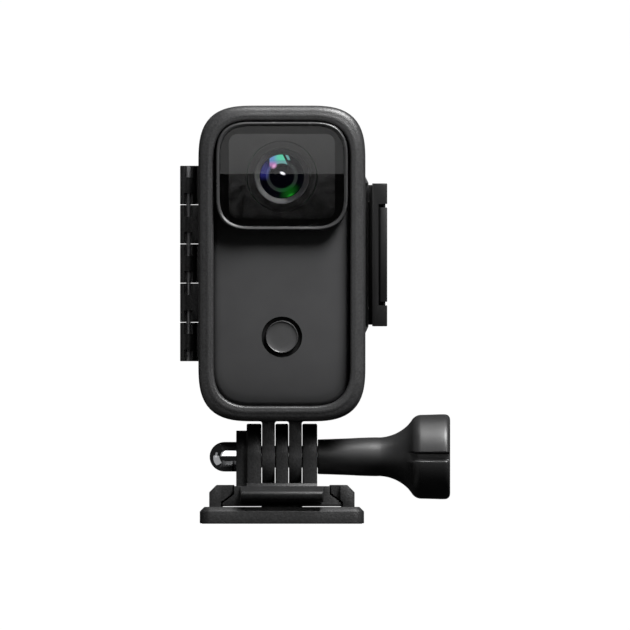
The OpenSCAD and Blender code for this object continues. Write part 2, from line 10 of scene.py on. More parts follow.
import bmesh
import bpy
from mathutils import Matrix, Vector


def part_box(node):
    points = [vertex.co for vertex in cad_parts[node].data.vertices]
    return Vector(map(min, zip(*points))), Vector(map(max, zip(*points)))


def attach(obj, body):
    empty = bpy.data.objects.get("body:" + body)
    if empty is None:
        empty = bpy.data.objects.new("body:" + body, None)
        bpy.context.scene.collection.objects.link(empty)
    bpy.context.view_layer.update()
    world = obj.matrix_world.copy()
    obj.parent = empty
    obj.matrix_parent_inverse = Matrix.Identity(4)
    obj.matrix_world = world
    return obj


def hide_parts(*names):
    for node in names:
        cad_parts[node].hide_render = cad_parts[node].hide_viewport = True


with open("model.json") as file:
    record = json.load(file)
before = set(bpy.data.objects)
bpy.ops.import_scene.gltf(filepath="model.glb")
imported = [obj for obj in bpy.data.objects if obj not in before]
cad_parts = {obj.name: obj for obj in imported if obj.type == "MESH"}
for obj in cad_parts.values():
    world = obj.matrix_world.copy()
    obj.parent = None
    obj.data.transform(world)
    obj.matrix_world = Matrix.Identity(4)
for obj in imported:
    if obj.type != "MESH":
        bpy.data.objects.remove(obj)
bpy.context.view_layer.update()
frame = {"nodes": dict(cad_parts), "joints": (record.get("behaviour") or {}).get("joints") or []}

MM = 0.001
SHARP_ANGLE = radians(32)


def cad_box(node):
    """Lowest and highest corner of a CAD node, in millimetres."""
    low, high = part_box(node)
    return low / MM, high / MM


def joint_place(name):
    """A joint's pivot, in millimetres."""
    joint = next(j for j in frame["joints"] if j["name"] == name)
    return Vector(joint["pos_m"]) / MM


# ---- mesh tools

def add_object(name, data):
    """Puts a new object in the scene."""
    obj = bpy.data.objects.new(name, data)
    bpy.context.scene.collection.objects.link(obj)
    return obj


def make_object(name, bm):
    """A Blender object from a bmesh in millimetres."""
    bmesh.ops.remove_doubles(bm, verts=bm.verts, dist=1e-4)
    bmesh.ops.recalc_face_normals(bm, faces=bm.faces)
    bmesh.ops.scale(bm, vec=(MM, MM, MM), verts=bm.verts)
    mesh = bpy.data.meshes.new(name)
    bm.to_mesh(mesh)
    bm.free()
    return add_object(name, mesh)


def smooth(obj):
    """Smooth shading, except across sharp edges."""
    obj.data.shade_smooth()
    obj.data.set_sharp_from_angle(angle=SHARP_ANGLE)


def combine(base, others, operation):
    """Adds or cuts the other objects and deletes them."""
    for other in others:
        modifier = base.modifiers.new("combine", "BOOLEAN")
        modifier.operation = operation
        modifier.solver = "EXACT"
        modifier.object = other
    depsgraph = bpy.context.evaluated_depsgraph_get()
    mesh = bpy.data.meshes.new_from_object(base.evaluated_get(depsgraph))
    base.modifiers.clear()
    base.data = mesh
    for other in others:
        bpy.data.objects.remove(other)
    return base


def union(name, parts):
    base = combine(parts[0], parts[1:], "UNION")
    base.name = name
    return base


def cut(base, cutters):
    return combine(base, cutters, "DIFFERENCE")


def arc(cx, cy, radius, start, end, steps):
    """Points of an arc, angles in degrees."""
    points = []
    for i in range(steps + 1):
        a = radians(start + (end - start) * i / steps)
        points.append((cx + radius * cos(a), cy + radius * sin(a)))
    return points


def between(first, last, steps):
    """Points that divide a straight side, without its two ends."""
    (x0, y0), (x1, y1) = first, last
    shares = [i / steps for i in range(1, steps)]
    return [(x0 + (x1 - x0) * t, y0 + (y1 - y0) * t) for t in shares]


def soft_outline(width, height, reach, power=2.0, corner_steps=20, side_steps=8):
    """A rectangle about the origin whose corners are quarters of a superellipse.

    The number of points is the same at any size, so that outlines can be joined.
    """
    points = []
    for start in (0, 90, 180, 270):
        side_x = 1 if start in (0, 270) else -1
        side_y = 1 if start in (0, 90) else -1
        corner = []
        for i in range(corner_steps + 1):
            a = radians(start + 90 * i / corner_steps)
            c, s = cos(a), sin(a)
            far = reach / (abs(c) ** power + abs(s) ** power) ** (1 / power)
            x = side_x * (width / 2 - reach) + far * c
            y = side_y * (height / 2 - reach) + far * s
            corner.append((x, y))
        if points:
            points += between(points[-1], corner[0], side_steps)
        points += corner
    return points + between(points[-1], points[0], side_steps)


def inset_outline(width, height, reach, power=2.0):
    """A function that gives a soft outline moved inwards by an inset."""
    def outline(inset):
        return soft_outline(width - 2 * inset, height - 2 * inset, reach - inset, power)
    return outline


def bridge(bm, ring_a, ring_b):
    """Joins two rings of vertices with a band of faces."""
    count = len(ring_a)
    for i in range(count):
        j = (i + 1) % count
        bm.faces.new((ring_a[i], ring_a[j], ring_b[j], ring_b[i]))


def loft(name, rings, tube=False):
    """A surface through rings of points. A tube's last ring joins its first."""
    bm = bmesh.new()
    made = [[bm.verts.new(p) for p in ring] for ring in rings]
    for a, b in zip(made, made[1:]):
        bridge(bm, a, b)
    if tube:
        bridge(bm, made[-1], made[0])
    else:
        bm.faces.new(made[0])
        bm.faces.new(made[-1])
    return make_object(name, bm)


def sweep(name, outline_at, section, centre_z, tube=False):
    """Sweeps a section round an upright outline. The section's points are (inset, y)."""
    rings = [[(x, y, z + centre_z) for x, z in outline_at(inset)] for inset, y in section]
    return loft(name, rings, tube)


def to_axis(axis, along, u, v):
    """A point from a distance along an axis and the two other coordinates, in X, Y, Z order."""
    if axis == "X":
        return (along, u, v)
    if axis == "Y":
        return (u, along, v)
    return (u, v, along)


def prism(name, outline, axis, low, high, bevel=0.15, segments=2, min_angle=20):
    """Extrudes an outline along an axis and rounds its sharp edges."""
    bm = bmesh.new()
    bottom = [bm.verts.new(to_axis(axis, low, u, v)) for u, v in outline]
    top = [bm.verts.new(to_axis(axis, high, u, v)) for u, v in outline]
    bridge(bm, bottom, top)
    bm.faces.new(bottom)
    bm.faces.new(top)
    bmesh.ops.recalc_face_normals(bm, faces=bm.faces)
    if bevel:
        limit = radians(min_angle)
        edges = [e for e in bm.edges if e.calc_face_angle(0) > limit]
        bmesh.ops.bevel(bm, geom=edges, offset=bevel, segments=segments, profile=0.5,
                        affect="EDGES", clamp_overlap=True)
    return make_object(name, bm)


def block(name, low, high, bevel=0.15, segments=2):
    outline = [(low[0], low[1]), (high[0], low[1]), (high[0], high[1]), (low[0], high[1])]
    return prism(name, outline, "Z", low[2], high[2], bevel, segments)


NEAR_AXIS = 0.02  # smallest radius of a turned outline
ROUND = 128  # steps of the round pieces at the lens


def lathe(name, points, axis, centre, steps=96, tube=False):
    """Turns (radius, along) points about a line parallel to an axis through a centre."""
    keep = {"X": (1, 2), "Y": (0, 2), "Z": (0, 1)}[axis]
    cu, cv = centre[keep[0]], centre[keep[1]]
    rings = []
    for radius, along in points:
        circle = arc(cu, cv, radius, 0, 360, steps)[:-1]
        rings.append([to_axis(axis, along, u, v) for u, v in circle])
    return loft(name, rings, tube)


def rod(name, axis, centre, radius, low, high, steps=64, bevel=0.0):
    """A cylinder with chamfered rims."""
    points = [(radius, low + bevel), (radius, high - bevel)]
    if bevel:
        points = [(radius - bevel, low)] + points + [(radius - bevel, high)]
    return lathe(name, points, axis, centre, steps)


def upright(name, place, radius, low, high, steps=40, bevel=0.0):
    """A rod parallel to Z through a joint's pivot."""
    return rod(name, "Z", (place.x, place.y, 0), radius, low, high, steps, bevel)


# ---- materials

def rgba(colour):
    """A grey or a colour as four numbers."""
    if isinstance(colour, (int, float)):
        return (colour, colour, colour, 1)
    return (*colour[:3], 1)


class Nodes:
    """Builds one material's node tree."""

    def __init__(self, name):
        self.material = bpy.data.materials.new(name)
        self.material.use_nodes = True
        self.tree = self.material.node_tree
        self.shader = self.tree.nodes["Principled BSDF"]
        self.place = self.add("ShaderNodeTexCoord").outputs["Object"]

    def add(self, kind, **settings):
        node = self.tree.nodes.new(kind)
        for key, value in settings.items():
            setattr(node, key, value)
        return node

    def link(self, a, b):
        self.tree.links.new(a, b)

    def feed(self, socket, value):
        """Links a socket, or sets a number or a colour."""
        if isinstance(value, bpy.types.NodeSocket):
            self.link(value, socket)
        elif socket.type == "RGBA":
            socket.default_value = rgba(value)
        else:
            socket.default_value = value

    def fill(self, node, **values):
        """Feeds a node's inputs by name."""
        for key, value in values.items():
            self.feed(node.inputs[key.replace("_", " ")], value)

    def set(self, **values):
        self.fill(self.shader, **values)

    def noise(self, size_mm, detail=2.0, roughness=0.5, stretch=(1, 1, 1)):
        """A noise whose features are about size_mm across."""
        mapping = self.add("ShaderNodeMapping")
        self.fill(mapping, Scale=stretch, Vector=self.place)
        node = self.add("ShaderNodeTexNoise")
        self.fill(node, Scale=1 / (size_mm * MM), Detail=detail, Roughness=roughness,
                  Vector=mapping.outputs["Vector"])
        return node.outputs["Fac"]

    def ramp(self, source, *stops):
        """A colour ramp; stops are (position, grey or colour)."""
        node = self.add("ShaderNodeValToRGB")
        elements = node.color_ramp.elements
        while len(elements) < len(stops):
            elements.new(0.5)
        for element, (position, colour) in zip(elements, stops):
            element.position = position
            element.color = rgba(colour)
        self.link(source, node.inputs["Fac"])
        return node.outputs["Color"]

    def mix(self, factor, a, b, blend="MIX"):
        """Mixes two colours. The node's sockets go by index, as several share a name."""
        factor_in, a_in, b_in, colour_out = 0, 6, 7, 2
        node = self.add("ShaderNodeMix", data_type="RGBA", blend_type=blend)
        for index, value in ((factor_in, factor), (a_in, a), (b_in, b)):
            self.feed(node.inputs[index], value)
        return node.outputs[colour_out]

    def math(self, operation, *values):
        node = self.add("ShaderNodeMath", operation=operation)
        for socket, value in zip(node.inputs, values):
            self.feed(socket, value)
        return node.outputs[0]

    def step(self, value, start, end):
        """Rises smoothly from 0 at start to 1 at end."""
        node = self.add("ShaderNodeMapRange", interpolation_type="SMOOTHSTEP")
        first, last = (0.0, 1.0) if end > start else (1.0, 0.0)
        self.fill(node, Value=value, From_Min=min(start, end), From_Max=max(start, end),
                  To_Min=first, To_Max=last)
        return node.outputs["Result"]

    def bump(self, *layers):
        """Stacks bumps; each layer is (height socket, depth in mm)."""
        normal = None
        for height, depth_mm in layers:
            node = self.add("ShaderNodeBump")
            self.fill(node, Strength=1.0, Distance=depth_mm * MM, Height=height)
            if normal:
                self.link(normal, node.inputs["Normal"])
            normal = node.outputs["Normal"]
        self.set(Normal=normal)

    def edge_wear(self):
        """1 on worn convex edges, 0 elsewhere."""
        pointiness = self.add("ShaderNodeNewGeometry").outputs["Pointiness"]
        edge = self.ramp(pointiness, (0.52, 0), (0.62, 1))
        patches = self.ramp(self.noise(2.5, 4), (0.42, 0), (0.62, 1))
        return self.mix(1.0, edge, patches, "MULTIPLY")


def plastic(name, grey, roughness, grain_mm=0.22, grain_depth=0.012, tint=(1, 1, 1.02), spread=0.12,
            worn=True, specular=0.5, speckle=0.0):
    """Moulded plastic: grain, faint tone changes, and edges polished by handling if it is worn."""
    m = Nodes(name)
    colour = [grey * t for t in tint]
    darker = [c * (1 - spread) for c in colour]
    lighter = [c * (1 + spread) + 0.001 for c in colour]
    tone = m.ramp(m.noise(9, 3), (0.3, darker), (0.7, lighter))
    gloss = m.ramp(m.noise(3.5, 4), (0.3, roughness - 0.03), (0.7, roughness + 0.03))
    if worn:
        wear = m.edge_wear()
        tone = m.mix(wear, tone, [c * 1.6 + 0.012 for c in colour])
        gloss = m.mix(wear, gloss, roughness * 0.75)
    if speckle:
        grain = m.ramp(m.noise(grain_mm, 2, 0.6), (0.35, 1 - speckle), (0.65, 1 + speckle))
        tone = m.mix(1.0, tone, grain, "MULTIPLY")
    m.set(Base_Color=tone, Roughness=gloss)
    m.bump((m.noise(grain_mm, 3, 0.6), grain_depth), (m.noise(5, 2), 0.01))
    m.set(Specular_IOR_Level=specular)
    return m.material


def metal(name, colour, roughness, brush=(1, 1, 1), brush_depth=0.001, variation=0.15):
    """Turned or brushed metal, with faint smudges."""
    m = Nodes(name)
    smudge = m.noise(4, 4)
    dull = [c * (1 - variation) for c in colour]
    m.set(Base_Color=m.ramp(smudge, (0.3, dull), (0.7, colour)),
          Roughness=m.ramp(smudge, (0.3, roughness), (0.75, min(1, roughness * 1.8))))
    m.bump((m.noise(0.25, 2, 0.5, brush), brush_depth))
    m.set(Metallic=1.0)
    return m.material


def rubber(name, grey, roughness=0.75, pore_mm=0.35):
    """Soft rubber or foam with open pores."""
    m = Nodes(name)
    pores = m.add("ShaderNodeTexVoronoi")
    m.fill(pores, Scale=1 / (pore_mm * MM), Vector=m.place)
    depth = pores.outputs["Distance"]
    m.set(Base_Color=m.ramp(m.noise(4, 3), (0.3, grey * 0.8), (0.7, grey * 1.25)),
          Roughness=m.ramp(depth, (0, roughness + 0.1), (0.6, roughness)))
    m.bump((depth, 0.03))
    m.set(Specular_IOR_Level=0.15)
    return m.material


def clear_glass(name, tint, ior=1.5):
    """Clear glass with faint dust in its gloss."""
    m = Nodes(name)
    lighter = [min(1, c * 1.02) for c in tint]
    m.set(Base_Color=m.ramp(m.noise(6, 2), (0.2, tint), (0.8, lighter)),
          Roughness=m.ramp(m.noise(1.2, 5), (0.55, 0), (0.9, 0.02)))
    m.set(IOR=ior, Transmission_Weight=1.0)
    return m


def gloss_black(name, grey, roughness=0.12, specular=0.5, coat=0.0, ripple=0.001):
    """Smooth black paint or moulding, with a trace of orange peel."""
    m = Nodes(name)
    m.set(Base_Color=m.ramp(m.noise(7, 2), (0.3, grey * 0.85), (0.7, grey * 1.15)),
          Roughness=m.ramp(m.noise(2, 4), (0.35, roughness), (0.8, roughness + 0.06)))
    m.bump((m.noise(1.1, 1), ripple))
    m.set(Coat_Weight=coat, Specular_IOR_Level=specular)
    return m.material


def board(name):
    """Green solder mask over copper tracks."""
    m = Nodes(name)
    tracks = m.add("ShaderNodeTexBrick")
    tracks_per_metre = 900
    m.fill(tracks, Scale=tracks_per_metre, Mortar_Size=0.03, Vector=m.place,
           Color1=(0.012, 0.075, 0.03), Color2=(0.014, 0.09, 0.036), Mortar=(0.03, 0.16, 0.06))
    m.set(Base_Color=tracks.outputs["Color"],
          Roughness=m.ramp(m.noise(1, 3), (0.3, 0.3), (0.7, 0.42)))
    m.bump((tracks.outputs["Fac"], 0.02))
    return m.material


def glass_with_painted_reflections(name, centre_z):
    """The front element: clear glass with painted reflections in coloured zones, given off as emission.
    """
    m = clear_glass(name, (0.08, 0.08, 0.10), ior=COATED_IOR)
    split = m.add("ShaderNodeSeparateXYZ")
    m.link(m.place, split.inputs[0])
    x = m.math("DIVIDE", split.outputs["X"], MM)
    z = m.math("SUBTRACT", m.math("DIVIDE", split.outputs["Z"], MM), centre_z)

    def length(u, v):
        return m.math("SQRT", m.math("ADD", m.math("MULTIPLY", u, u), m.math("MULTIPLY", v, v)))

    def all_of(*masks):
        whole = masks[0]
        for mask in masks[1:]:
            whole = m.math("MULTIPLY", whole, mask)
        return whole

    def band(value, low, high, soft):
        return all_of(m.step(value, low - soft, low + soft), m.step(value, high + soft, high - soft))

    def spot(cx, cz, rx, rz, turn=0.0, soft=0.0):
        """An ellipse with a soft edge, turned by some degrees."""
        c, s = cos(radians(turn)), sin(radians(turn))
        dx, dz = m.math("SUBTRACT", x, cx), m.math("SUBTRACT", z, cz)
        along = m.math("ADD", m.math("MULTIPLY", dx, c / rx), m.math("MULTIPLY", dz, s / rx))
        across = m.math("SUBTRACT", m.math("MULTIPLY", dz, c / rz), m.math("MULTIPLY", dx, s / rz))
        return m.step(length(along, across), 1.0, soft)

    radius = length(x, z)
    angle = m.math("ARCTAN2", z, x)
    ring_low, ring_high = 2.78, 3.56
    black, dark_grey, white = (0, 0, 0.001), (0.016, 0.019, 0.018), (0.95, 0.95, 1.0)
    mint, teal, dark_teal = (0.07, 0.46, 0.28), (0.11, 0.27, 0.26), (0.05, 0.17, 0.20)
    blue, indigo, pale_indigo = (0.10, 0.20, 0.42), (0.012, 0.013, 0.10), (0.045, 0.055, 0.16)
    mauve, pink, ring_green = (0.30, 0.13, 0.30), (0.62, 0.30, 0.52), (0.005, 0.05, 0.012)
    deep_green, bright_green, patch_teal = (0.002, 0.055, 0.003), (0.008, 0.24, 0.012), (0.10, 0.27, 0.26)
    inside = m.step(radius, 4.92, 4.78)
    rim = m.step(radius, 4.95, 4.75)
    # A painted reflection of a window at the top, whose right side slants
    slant = m.math("ADD", m.math("SUBTRACT", x, 2.55), m.math("MULTIPLY", z, 0.49))
    painted_window_reflection = m.mix(m.step(z, 3.9, 3.2), mint, teal)
    painted_window_reflection = m.mix(m.step(x, -0.6, -2.2), painted_window_reflection, blue)
    painted_window_reflection = m.mix(all_of(m.step(z, 3.6, 2.6), m.step(x, -0.8, -1.8)), painted_window_reflection, mauve)
    painted_window_reflection = m.mix(band(z, 3.42, 3.50, 0.07), painted_window_reflection, dark_teal)
    window = all_of(m.step(radius, 2.75, 3.05), m.step(x, -2.85, -2.70), m.step(slant, 0.04, -0.05))
    window = all_of(window, inside, m.step(z, 1.9, 2.5))
    patch = all_of(inside, band(slant, 0.55, 1.15, 0.06), m.step(z, 3.45, 3.85), m.step(x, 2.1, 1.7))
    # Painted reflections: a bluish left side, and a thin ring that turns green at the lower right
    left = all_of(m.step(m.math("ABSOLUTE", angle), 2.15, 2.75), m.step(z, -1.2, 0.8), inside)
    left = all_of(left, m.step(radius, 2.75, 3.6))
    ring = all_of(band(radius, ring_low, ring_high, 0.1), band(angle, -1.75, -0.75, 0.5))
    # A painted dark-grey ring over a black middle, given off as emission
    colour = m.mix(band(radius, ring_low, ring_high, 0.1), black, dark_grey)
    layers = (
        # Painted reflections laid one over another: blue side, window, teal patch, green ring, pink spot
        # and green arcs
        (left, indigo),
        (all_of(left, band(radius, ring_low, ring_high, 0.12)), pale_indigo),
        (window, painted_window_reflection),
        (patch, patch_teal),
        (ring, ring_green),
        (spot(-1.75, 2.25, 0.95, 0.65, 40), pink),
        (all_of(spot(1.7, -3.6, 3.0, 1.7, 35), rim), deep_green),
        (all_of(spot(1.95, -4.4, 1.3, 0.65, 28), rim), bright_green),
        # A painted white glint
        (spot(0.15, 0.66, 0.85, 0.42, -22, soft=0.3), white),
    )
    for mask, layer in layers:
        colour = m.mix(mask, colour, layer)
    # The painted reflections and the painted glint are given off as emission
    m.set(Emission_Color=colour)
    m.set(Emission_Strength=1.0)
    return m.material


COATED_IOR = 1.06  # low, as the anti-reflection coatings take nearly all of the glare away
LENS_Z = sum(corner.z for corner in cad_box("lens_bezel")) / 2

COARSE_GRAIN = dict(grain_mm=0.42, grain_depth=0.06, spread=0.05, speckle=0.3, worn=False)
cage_look = plastic("cage_plastic", 0.027, 0.38, **COARSE_GRAIN)
mount_look = plastic("mount_plastic", 0.016, 0.45, specular=0.22, **COARSE_GRAIN)
shell_look = plastic("camera_plastic", 0.056, 0.42, grain_mm=0.12, grain_depth=0.004, spread=0.05,
                     worn=False, specular=0.04)
bezel_look = plastic("bezel_plastic", 0.035, 0.26, grain_mm=0.1, grain_depth=0.001)
knob_look = plastic("knob_plastic", 0.016, 0.42, grain_mm=0.15, grain_depth=0.006)
latch_look = plastic("latch_plastic", 0.008, 0.42, grain_mm=0.25, grain_depth=0.01, worn=False,
                     specular=0.25)
button_look = plastic("button_plastic", 0.042, 0.38, grain_mm=0.1, grain_depth=0.003, spread=0.05,
                      worn=False)
border_look = gloss_black("window_border", 0.0006, 0.5, specular=0.02)
recess_look = gloss_black("window_recess", 0.003, 0.03, specular=0.9, ripple=0.00002)
screen_look = gloss_black("screen_glass", 0.004, 0.05, coat=1.0)
chrome_look = metal("chrome", (0.82, 0.83, 0.85), 0.05, brush_depth=0.00005, variation=0.05)
steel_look = metal("steel", (0.56, 0.57, 0.58), 0.22, brush=(1, 1, 12))
ring_look = metal("lens_ring", (0.13, 0.13, 0.135), 0.42)
pin_look = metal("pin_steel", (0.62, 0.62, 0.63), 0.5)
blackened_look = metal("blackened_steel", (0.03, 0.03, 0.032), 0.35)
gasket_look = rubber("gasket", 0.0015)
foam_look = rubber("foam_tape", 0.02, pore_mm=0.5)
board_look = board("circuit_board")
chip_look = plastic("chip_epoxy", 0.02, 0.5, grain_mm=0.08)
wrap_look = plastic("battery_wrap", 0.12, 0.35, tint=(0.7, 0.95, 1.3))
window_look = clear_glass("window_glass", (1, 1, 1)).material
element_look = clear_glass("lens_glass", (0.5, 0.53, 0.65), ior=COATED_IOR).material
# The front element's glass, with painted reflections and a painted glint
painted_reflection_lens_look = glass_with_painted_reflections("lens_glass_painted_reflections", LENS_Z)


def set_look(obj, look):
    obj.data.materials.clear()
    obj.data.materials.append(look)
    smooth(obj)


def finish_piece(obj, look, body, replaces=None):
    """Gives a piece its material, its body and its place in the record."""
    set_look(obj, look)
    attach(obj, body)
    if replaces:
        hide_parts(replaces)


# ---- main sizes

shell_low, shell_high = cad_box("camera_front_shell")
CAMERA_W = shell_high.x - shell_low.x
CAMERA_H = shell_high.z - shell_low.z
CAMERA_Z = (shell_high.z + shell_low.z) / 2
CAMERA_FRONT = shell_low.y
CAMERA_BACK = cad_box("camera_back_shell")[1].y
CAMERA_CORNER = (10.3, 2.7)  # reach and power of its corners
SHELL_T = 1.2
CAGE_WALL = 2.1
CAGE_GAP = 0.22
CAGE_W = CAMERA_W + 2 * (CAGE_WALL + CAGE_GAP)
CAGE_H = CAMERA_H + 2 * (CAGE_WALL + CAGE_GAP)
CAGE_CORNER = (13.0, 3.0)
CAGE_SIDE = CAGE_W / 2
CAGE_BOTTOM = CAMERA_Z - CAGE_H / 2
CAGE_FRONT = cad_box("front_frame")[0].y
CAGE_BACK = cad_box("back_cover")[1].y
LIP = 3.47  # from the cage's outside to its opening
PARTING = 7.0
COVER_START = 7.2
FINGER_R = 7.45
FINGER_ROOM = 7.8
BORE_R = 2.52
AXIS_Z = joint_place("camera_tilt").z
HINGE = joint_place("cover_hinge")
LATCH_PIVOT = joint_place("latch_swing")
TAB_PIVOT = joint_place("latch_tab_lift")


camera_outline = inset_outline(CAMERA_W, CAMERA_H, *CAMERA_CORNER)


def cage_outline(inset):
    """The cage's outline; its corners turn into the camera's as the inset reaches the opening."""
    share = inset / LIP
    camera_inset = LIP - CAGE_WALL - CAGE_GAP
    reach = CAGE_CORNER[0] * (1 - share) + (CAMERA_CORNER[0] - camera_inset) * share
    power = CAGE_CORNER[1] * (1 - share) + CAMERA_CORNER[1] * share
    return soft_outline(CAGE_W - 2 * inset, CAGE_H - 2 * inset, reach, power)


def round_over(width, depth, y_face, inwards, steps=6):
    """Section of a rounded edge from the side wall (inset 0) to the face, (inset, y) points."""
    return [(width * (1 - cos(a)), y_face + inwards * depth * (1 - sin(a)))
            for a in [pi / 2 * i / steps for i in range(steps + 1)]]


# ---- cage

def frame_ring():
    """The front half: outer round, a soft ridge, a sunk inner band and the lip's rounded edge."""
    face = CAGE_FRONT
    section = [(0.15, PARTING), (0, PARTING - 0.15), (0, PARTING - 3)]
    section += round_over(1.72, 1.5, face + 0.14, 1)
    section += [(1.84, face + 0.08), (2.0, face + 0.04), (2.2, face + 0.01), (2.3, face),
                (2.45, face + 0.02), (2.8, face + 0.035), (LIP - 0.42, face + 0.05),
                (LIP - 0.26, face + 0.14), (LIP - 0.12, face + 0.32), (LIP - 0.04, face + 0.6),
                (LIP, face + 1.0), (LIP, CAMERA_FRONT - 0.1), (CAGE_WALL, CAMERA_FRONT - 0.1),
                (CAGE_WALL, PARTING)]
    return sweep("frame_ring", cage_outline, section, CAMERA_Z, tube=True)


def cover_ring():
    back = CAGE_BACK
    section = [(0.15, COVER_START), (CAGE_WALL, COVER_START), (CAGE_WALL, CAMERA_BACK + 0.1),
               (LIP, CAMERA_BACK + 0.1), (LIP, back - 0.3), (LIP - 0.1, back - 0.08), (LIP - 0.3, back)]
    section += reversed(round_over(1.72, 1.5, back, -1))
    section += [(0, COVER_START + 0.15)]
    return sweep("cover_ring", cage_outline, section, CAMERA_Z, tube=True)


HINGE_LOW, HINGE_HIGH = cad_box("hinge_pin")[0].z - 0.15, cad_box("hinge_pin")[1].z + 0.15
KNUCKLE_H = (HINGE_HIGH - HINGE_LOW) / 5
KNUCKLE_R = 1.88


def knuckle(index, arm_y0, arm_y1):
    """A hinge barrel with its arm, open windows that show the pin, and a bore."""
    end_gap, window_h, pin_room = 0.055, 2.6, 0.57
    low = HINGE_LOW + index * KNUCKLE_H + end_gap
    high = HINGE_LOW + (index + 1) * KNUCKLE_H - end_gap
    barrel = upright("barrel", HINGE, KNUCKLE_R, low, high, bevel=0.12)
    arm = block("arm", (HINGE.x, arm_y0, low), (0.5 - CAGE_SIDE, arm_y1, high), bevel=0.1)
    cutters = [upright("bore", HINGE, pin_room, low - 1, high + 1)]
    for z0, z1 in ((low - 0.5, low + window_h), (high - window_h, high + 0.5)):
        near = (HINGE.x - 1, HINGE.y - 3, z0)
        far = (HINGE.x + 1, HINGE.y + 0.35, z1)
        cutters.append(block("window", near, far, bevel=0))
    return cut(union("knuckle", [barrel, arm]), cutters)


def cage_finger(centre_x):
    """One of the two fingers under the cage, with fillets at its root."""
    half, fillet = 1.45, 0.5
    top = CAGE_BOTTOM + 0.5
    outline = [(-FINGER_R, top)] + arc(0, AXIS_Z, FINGER_R, 180, 360, 28) + [(PARTING - 0.1, top)]
    finger = prism("finger", outline, "X", centre_x - half, centre_x + half, bevel=0.12, min_angle=40)
    edge = half + fillet
    foot = [(centre_x - edge, top)]
    foot += arc(centre_x - edge, CAGE_BOTTOM - fillet, fillet, 90, 0, 5)
    foot += arc(centre_x + edge, CAGE_BOTTOM - fillet, fillet, 180, 90, 5)
    foot += [(centre_x + edge, top)]
    root = prism("root", foot, "Y", 0.1 - FINGER_R, PARTING - 0.2, bevel=0)
    bore = rod("bore", "X", (0, 0, AXIS_Z), BORE_R, centre_x - 3, centre_x + 3)
    return cut(union("finger", [finger, root]), [bore])


latch_low, latch_high = cad_box("latch_plate")
LATCH_BARREL_R = 1.7


def latch_pad():
    """The raised pad on the cage's right wall, with a channel that clears the latch."""
    slope, proud = 0.7, 0.68
    z0, z1 = 43.7, 77.5
    outline = [(CAGE_SIDE - 1, z0 - slope), (CAGE_SIDE, z0 - slope), (CAGE_SIDE + proud, z0 + slope),
               (CAGE_SIDE + proud, z1 - slope), (CAGE_SIDE, z1 + slope), (CAGE_SIDE - 1, z1 + slope)]
    pad = prism("latch_pad", outline, "Y", -6.5, PARTING - 0.1, bevel=0.1)
    channel_low = (CAGE_SIDE + 0.01, -8, latch_low.z - 0.1)
    channel_high = (CAGE_SIDE + 2, 3, latch_high.z + 0.05)
    return cut(pad, [block("channel", channel_low, channel_high, bevel=0)])


def latch_lug(low, high):
    """One of the two lugs on the cover that carry the latch's pin."""
    x, y = LATCH_PIVOT.xy
    half_arm = 1.1
    lug = upright("lug", LATCH_PIVOT, LATCH_BARREL_R, low, high, bevel=0.12)
    arm = block("lug_arm", (CAGE_SIDE - 0.5, y - half_arm, low), (x, y + half_arm, high), bevel=0.1)
    return cut(union("lug", [lug, arm]), [upright("bore", LATCH_PIVOT, 0.52, low - 1, high + 1)])


def build_cage():
    finger_x = 3.03
    fingers = [cage_finger(side * finger_x) for side in (-1, 1)]
    knuckles = [knuckle(i, HINGE.y - KNUCKLE_R, PARTING - 0.05) for i in (1, 3)]
    front = union("cage_front", [frame_ring(), latch_pad()] + fingers)
    front = union("cage_front", [front] + knuckles)
    finish_piece(front, cage_look, "camera_in_cage", "front_frame")

    lug_inset, lug_h = 0.35, 3.7
    lug_starts = (latch_low.z + lug_inset, latch_high.z - lug_inset - lug_h)
    lugs = [latch_lug(z, z + lug_h) for z in lug_starts]
    knuckles = [knuckle(i, COVER_START + 0.05, HINGE.y + KNUCKLE_R) for i in (0, 2, 4)]
    cover = union("cage_cover", [cover_ring()] + knuckles + lugs)
    finish_piece(cover, cage_look, "cage_cover", "back_cover")


build_cage()


# ---- latch

